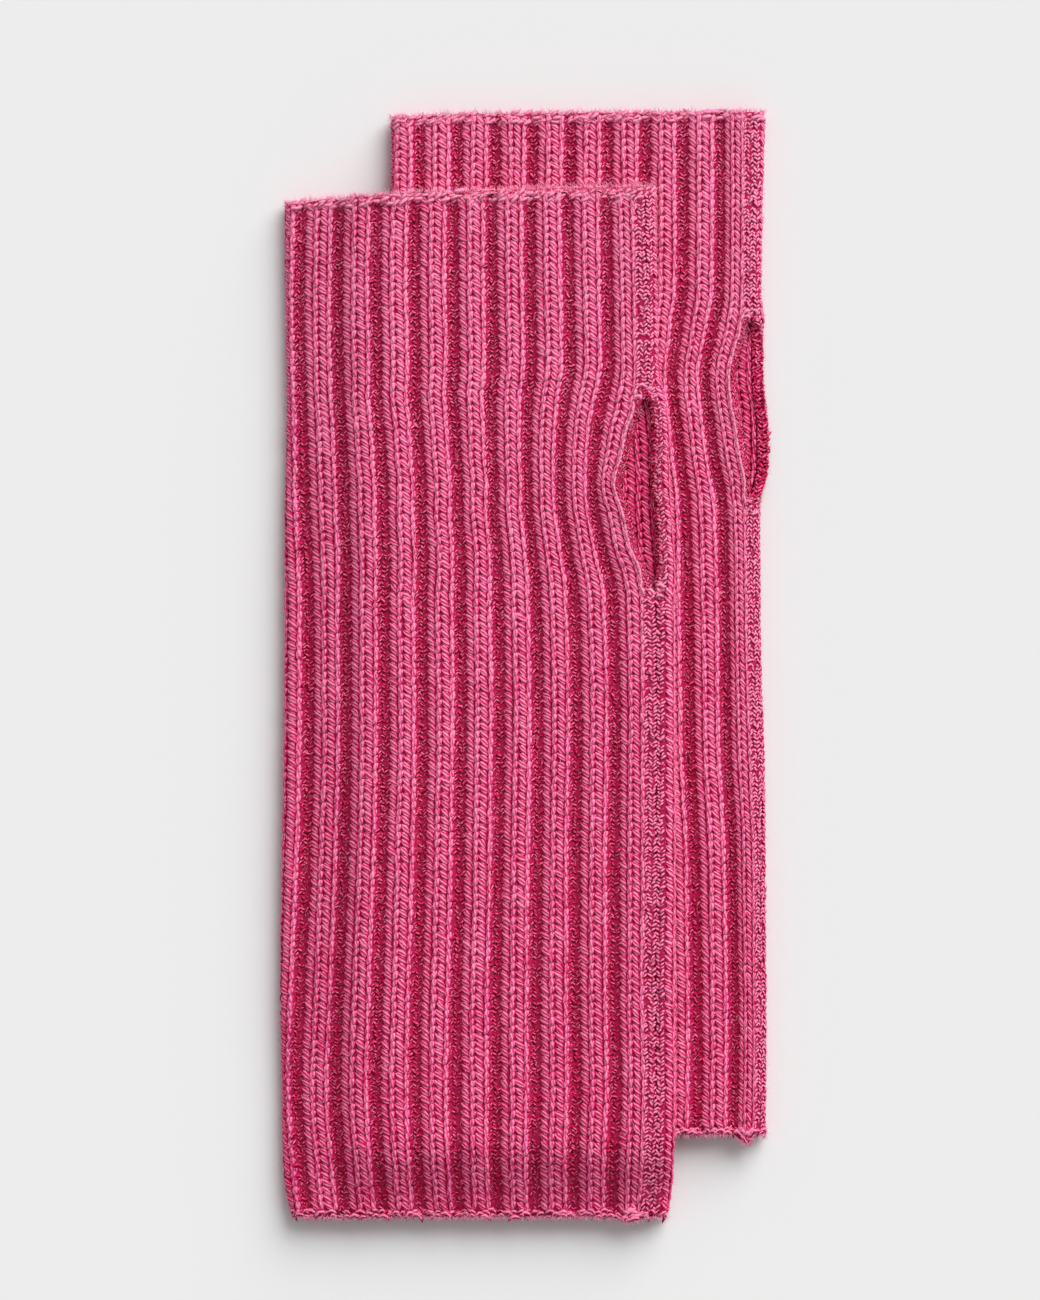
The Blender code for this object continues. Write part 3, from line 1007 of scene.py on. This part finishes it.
class WARMERS_OT_ground(bpy.types.Operator):
    """Model the ground of both warmers, which the stitches lie on"""
    bl_idname = "warmers.ground"
    bl_label = "Knitted Ground"

    def execute(self, context):
        for warmer in (LOWER, UPPER):
            add_wall(warmer, context.scene.knit_settings)
        return {"FINISHED"}


def rim_places():
    """Return where the links of a hem's edge lie round a warmer."""
    count = round(RIBS * RIB_PITCH / EDGE_PITCH)
    return [((i + 0.5) * RIBS / count, RIBS_PER_MM) for i in range(count)]


def add_seam(warmer, settings):
    """Work the stripe along the seam, and the lips, ends and inner face of the thumb slit.

    The stripe and the far lip are in the seam's close rows. The near lip and the far lip's end lie
    deeper, and are painted in the darker purl wool as painted shade. The ties of the slit's ends
    and the ridge along its near lip are fuzzy and painted pale, a painted highlight where they
    catch the light.
    """
    # plain is the seam's paler wool, bright the pale fuzzy wool with its painted highlight, and
    # dark the purl wool with its painted shade
    plain, bright, dark = [get_wool(kind, settings) for kind in ("seam", "fuzzy_lit", "purl")]
    rows = close_rows(settings)
    sewn, free = rows[~beside_slit(warmer, rows)], rows[beside_slit(warmer, rows)]
    for name, line, slant in (("slants", SEAM_SLANT, 1), ("back_slants", SEAM_BACK_SLANT, -1)):
        columns = [at for at, way in SEAM_COLUMNS if way == slant]
        near = [(at, RIBS_PER_MM) for at in columns if at > 0]
        far = [(RIBS + at, RIBS_PER_MM) for at in columns if at < 0]
        ends = [(height, 1.0) for height, way in LIP_END_COLUMNS if way == slant]
        for part, places, at, wool, side in (
                ("seam", near + far, sewn, plain, "face"),
                ("near_lip", near, free, dark, "face"),
                ("far_lip", far, free, plain, "face"),
                ("lip_end", ends, free, dark, "lip")):
            add_strands(warmer, f"{part}_{name}", line, SEAM_FORM, places, at, settings, wool,
                        loose=2.0, side=side)
    first, last = warmer["slit"][0][0], warmer["slit"][-1][0]
    ties = [first + row for row in TIES_AT_TOP] + [last + row for row in TIES_AT_END]
    add_strands(warmer, "slit_ties", KNOT_TURN, SEAM_FORM,
                [(rib, RIBS_PER_MM) for rib in TIE_PLACES], ties, settings, bright, loose=3.0)
    add_strands(warmer, "lip_ridge", LIP_RIDGE, LIP_RIDGE_FORM, [(LIP_RIDGE_RIB, RIBS_PER_MM)],
                free, settings, bright)
    column = settings.column / MM
    middle, last_middle = warmer["inner_columns"]
    middles = np.minimum(middle + column * RIBS_PER_MM * np.arange(*INNER_COLUMNS), last_middle)
    inner = [(middle - column / 2 * RIBS_PER_MM, -RIBS_PER_MM) for middle in middles]
    rows = stitch_rows(settings)
    for name, line in (("inner_left_legs", LEFT_LEG), ("inner_right_legs", RIGHT_LEG)):
        add_strands(warmer, name, line, LEFT_LEG_FORM, inner, rows[beside_slit(warmer, rows)],
                    settings, get_wool("inner", settings), side="inner")


def add_hems(warmer, settings):
    """Bind off both edges: links over the face, a rim over the wall's end, and the seam's knot.

    The finger edge is fuzzy and painted pale, partly a painted highlight where it catches the
    light. The wrist edge is in the seam's paler wool, partly painted light against the shade on it.
    """
    # bright is the pale fuzzy wool with its painted highlight, plain the seam's paler wool
    plain, bright = get_wool("seam", settings), get_wool("fuzzy_lit", settings)
    places = rim_places()
    for name, edge, way, rows, line, wool in (
            ("finger", 0.0, 1, FINGER_ROWS, EDGE_LINK, bright),
            ("wrist", LENGTH, -1, WRIST_ROWS, KNOT_TURN, plain)):
        add_strands(warmer, f"{name}_links", line, EDGE_FORM, places,
                    [edge + way * row for row in rows], settings, wool, loose=3.5)
        add_strands(warmer, f"{name}_rim", EDGE_LINK, EDGE_FORM, places,
                    [edge - way * RIM_REACH], settings, wool, loose=2.5, side="rim")
    turns = [(warmer["knot"][0] + i * KNOT_STEP, RIBS_PER_MM) for i in (-1, 0, 1)]
    add_strands(warmer, "hem_knot", KNOT_TURN, KNOT_FORM, turns, KNOT_ROWS, settings, plain,
                loose=4.0)


def fuzz_roots(warmer, rng, kinds):
    """Draw the rib coordinates and rows where loose fibres grow, and which way they lean."""
    count = len(kinds[0])
    second = rng.random(count) < 0.5
    depth = rng.exponential(FUZZ_HEM_DEPTH, count)
    slit = warmer["slit"]
    rib = np.select(kinds, [
        rng.uniform(0, FUZZ_FACE, count),
        np.where(second, *FUZZ_FOLDS) + rng.normal(size=count) * FUZZ_FOLD_SPREAD,
        rng.uniform(0, RIBS, count),
        np.where(second, rng.uniform(0.0, FUZZ_NEAR_LIP, count),
                 RIBS - rng.uniform(0.0, FUZZ_FAR_LIP, count))])
    down = np.select(kinds, [
        rng.uniform(0, LENGTH, count),
        rng.uniform(0, LENGTH, count),
        np.where(second, depth, LENGTH - depth),
        rng.uniform(slit[0][0] - FUZZ_PAST_SLIT, slit[-1][0] + FUZZ_PAST_SLIT, count)])
    lean = rng.normal(size=(count, 3)) * FUZZ_SPREAD
    lean[:, 1] += np.where(second, 1.0, -1.0) * np.where(kinds[2], HEM_LEAN, 0.0)
    lean[:, 2] = np.abs(lean[:, 2]) + np.select(kinds, FUZZ_STEEPNESS)
    return rib, np.clip(down, 0.0, LENGTH), lean / np.linalg.norm(lean, axis=1)[:, None]


def add_fuzz(warmer, settings):
    """Grow loose fibres: low over the face, and standing off the folds, the hems and the slit."""
    rng = np.random.default_rng(warmer["seed"] + FUZZ_SEED)
    count = settings.hairs
    kind = rng.choice(len(FUZZ_SHARES), count, p=FUZZ_SHARES)
    kinds = [kind == i for i in range(len(FUZZ_SHARES))]
    rib, down, lean = fuzz_roots(warmer, rng, kinds)
    x, y, z, out_x, out_z = wall_line(warmer, rib, down)
    height = cloth_face(rib, down, out_z) + np.select(kinds, FUZZ_START)
    base = np.stack((x + height * out_x, y, z + height * out_z), axis=1)
    none = np.zeros(count)
    out = np.stack((out_x, none, out_z), axis=1)
    across = np.stack((out_z, none, -out_x), axis=1)
    ahead = lean[:, :1] * across + lean[:, 1:2] * (0.0, 1.0, 0.0) + lean[:, 2:] * out
    beside = np.cross(ahead, out)
    beside /= np.linalg.norm(beside, axis=1)[:, None]
    above = np.cross(beside, ahead)
    size = settings.hair_length / MM * rng.uniform(*HAIR_LENGTHS, count)
    size = size * np.where(kinds[2], HEM_LENGTH, 1.0)
    bend = rng.normal(size=(2, count)) * FUZZ_BEND
    thick = settings.hair_width / MM / 2 * rng.uniform(*HAIR_WIDTHS, count)
    proto = strand("fuzz", HAIR, HAIR_FORM)
    far, wide, tall = get_points(proto).T
    mesh = repeated(proto, (count,), (HAIR_STEP,))
    add_yarn_maps(mesh, count, rng.uniform(0, LOT_RANGE, (count, 3)))
    points = base[:, None] + (size[:, None] * far)[:, :, None] * ahead[:, None]
    for way, bent in zip((beside, above), bend):
        points += (size * bent)[:, None, None] * (far ** 2)[:, None] * way[:, None]
    for way, offset in ((beside, wide), (above, tall)):
        points += (thick[:, None] * offset)[:, :, None] * way[:, None]
    points = points.reshape(-1, 3)
    points[:, 2] = np.maximum(points[:, 2], 0.0)
    set_points(mesh, points * MM)
    finish_piece(f"{warmer['name']}_fuzz", mesh,
                 get_material("loose_wool_fibres", wool_fuzz, settings))


class WARMERS_OT_stitches(bpy.types.Operator):
    """Knit the V stitches of every rib, in two legs each"""
    bl_idname = "warmers.stitches"
    bl_label = "Knit Stitches"

    def execute(self, context):
        settings = context.scene.knit_settings
        # The right legs take the soft wool, the knit wool painted paler for the light they catch
        wool, soft = get_wool("knit", settings), get_wool("soft", settings)
        rows = stitch_rows(settings)
        top, under = rib_columns(TOP_RIBS, settings), rib_columns(UNDER_RIBS, settings)
        for warmer in (LOWER, UPPER):
            for name, line, shape, places, yarn in (
                    ("left_legs", LEFT_LEG, LEFT_LEG_FORM, top, wool),
                    ("right_legs", RIGHT_LEG, RIGHT_LEG_FORM, top, soft),
                    ("under_left_legs", UNDER_LEFT_LEG, UNDER_LEFT_FORM, under, wool),
                    ("under_right_legs", UNDER_RIGHT_LEG, UNDER_RIGHT_FORM, under, soft)):
                add_strands(warmer, name, line, shape, places, rows, settings, yarn)
        return {"FINISHED"}


class WARMERS_OT_purl(bpy.types.Operator):
    """Fill every groove with purl bumps"""
    bl_idname = "warmers.purl"
    bl_label = "Purl Bumps"

    def execute(self, context):
        settings = context.scene.knit_settings
        # The purl wool paints the grooves' bumps darker and redder: painted shade
        wool = get_wool("purl", settings)
        rows, close = stitch_rows(settings), close_rows(settings)
        top = [(float(rib), RIBS_PER_MM) for rib in TOP_GROOVES]
        under = [(float(rib), RIBS_PER_MM) for rib in UNDER_GROOVES]
        for warmer in (LOWER, UPPER):
            for name, line, places, at, aside in (
                    ("purl_left", PURL_SLANT, top, close, PURL_ASIDE),
                    ("purl_middle", PURL_BACK_SLANT, top, close, 0.0),
                    ("purl_right", PURL_SLANT, top, close, -PURL_ASIDE),
                    ("under_purl", UNDER_PURL, under, rows, 0.0)):
                add_strands(warmer, name, line, PURL_FORM, places, at, settings, wool,
                            origin=aside, loose=2.2)
        return {"FINISHED"}


class WARMERS_OT_edges(bpy.types.Operator):
    """Work the seam's stripe, the thumb slit's lips and ends, and both hems"""
    bl_idname = "warmers.edges"
    bl_label = "Seam, Slit and Hems"

    def execute(self, context):
        settings = context.scene.knit_settings
        for warmer in (LOWER, UPPER):
            add_seam(warmer, settings)
            add_hems(warmer, settings)
        return {"FINISHED"}


class WARMERS_OT_fuzz(bpy.types.Operator):
    """Grow the loose fibres of both warmers"""
    bl_idname = "warmers.fuzz"
    bl_label = "Wool Fuzz"

    def execute(self, context):
        for warmer in (LOWER, UPPER):
            add_fuzz(warmer, context.scene.knit_settings)
        return {"FINISHED"}


class WARMERS_OT_cloth(bpy.types.Operator):
    """Finish without a step of its own: the warmers stay as the other operators built them"""
    bl_idname = "warmers.cloth"
    bl_label = "State the Cloth"

    def execute(self, context):
        return {"FINISHED"}


class WARMERS_OT_stage(bpy.types.Operator):
    """Set the pale table, the soft studio light and the camera over the warmers"""
    bl_idname = "warmers.stage"
    bl_label = "Studio Stage"

    def execute(self, context):
        scene = context.scene
        settings = scene.stage_settings
        form = bmesh.new()
        bmesh.ops.create_grid(form, x_segments=1, y_segments=1, size=TABLE_REACH,
                              matrix=Matrix.Translation((0, 0, -TABLE_DROP)))
        mesh = new_mesh("table", form)
        table = new_object("table", mesh)
        # Painted board: white and matt, so that nothing but the shadows shows on it
        material, tree, output = new_material("matt_white_board")
        shader = add_node(tree, "ShaderNodeBsdfPrincipled", {
            "Base Color": (*settings.floor, 1.0), "Roughness": 0.9, "Specular IOR Level": 0.0})
        tree.links.new(shader.outputs[0], output.inputs["Surface"])
        mesh.materials.append(material)

        key = bpy.data.lights.new("key_light", "SUN")
        key.energy = settings.key_share * math.pi / math.sin(settings.key_rise)
        key.angle = settings.key_spread
        lamp = new_object("key_light", key)
        lamp.rotation_euler = (0, math.pi / 2 - settings.key_rise, settings.key_turn)

        world = bpy.data.worlds.new("studio")
        world.use_nodes = True
        sky = world.node_tree.nodes["Background"]
        sky.inputs["Color"].default_value = (1, 1, 1, 1)
        sky.inputs["Strength"].default_value = 1 - settings.key_share
        scene.world = world

        camera = bpy.data.cameras.new("camera")
        camera.lens = camera.sensor_width * settings.camera_height / settings.frame_height
        camera.clip_end = FARTHEST_SEEN
        eye = new_object("camera", camera)
        eye.location = (*PICTURE_MIDDLE, settings.camera_height)
        scene.camera = eye
        scene.view_settings.view_transform = "Standard"
        return {"FINISHED"}


class WARMERS_PT_panel(bpy.types.Panel):
    """Lists the warmers' operators in the sidebar"""
    bl_idname = "WARMERS_PT_panel"
    bl_label = "Wrist Warmers"
    bl_space_type = "VIEW_3D"
    bl_region_type = "UI"
    bl_category = "Wrist Warmers"

    def draw(self, context):
        for operator in OPERATORS:
            self.layout.operator(operator.bl_idname)


OPERATORS = (
    WARMERS_OT_ground,
    WARMERS_OT_stitches,
    WARMERS_OT_purl,
    WARMERS_OT_edges,
    WARMERS_OT_fuzz,
    WARMERS_OT_stage,
    WARMERS_OT_cloth,
)
SETTINGS = (KnitSettings, StageSettings)


def register():
    """Register the settings, the operators and the panel."""
    for item in (*SETTINGS, *OPERATORS, WARMERS_PT_panel):
        bpy.utils.register_class(item)
    bpy.types.Scene.knit_settings = bpy.props.PointerProperty(type=KnitSettings)
    bpy.types.Scene.stage_settings = bpy.props.PointerProperty(type=StageSettings)


def unregister():
    """Take the panel, the operators and the settings away again."""
    del bpy.types.Scene.stage_settings
    del bpy.types.Scene.knit_settings
    for item in reversed((*SETTINGS, *OPERATORS, WARMERS_PT_panel)):
        bpy.utils.unregister_class(item)


def main():
    """Build every piece."""
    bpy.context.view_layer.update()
    register()
    for operator in OPERATORS:
        group, name = operator.bl_idname.split(".")
        getattr(getattr(bpy.ops, group), name)()


if __name__ == "__main__":
    main()
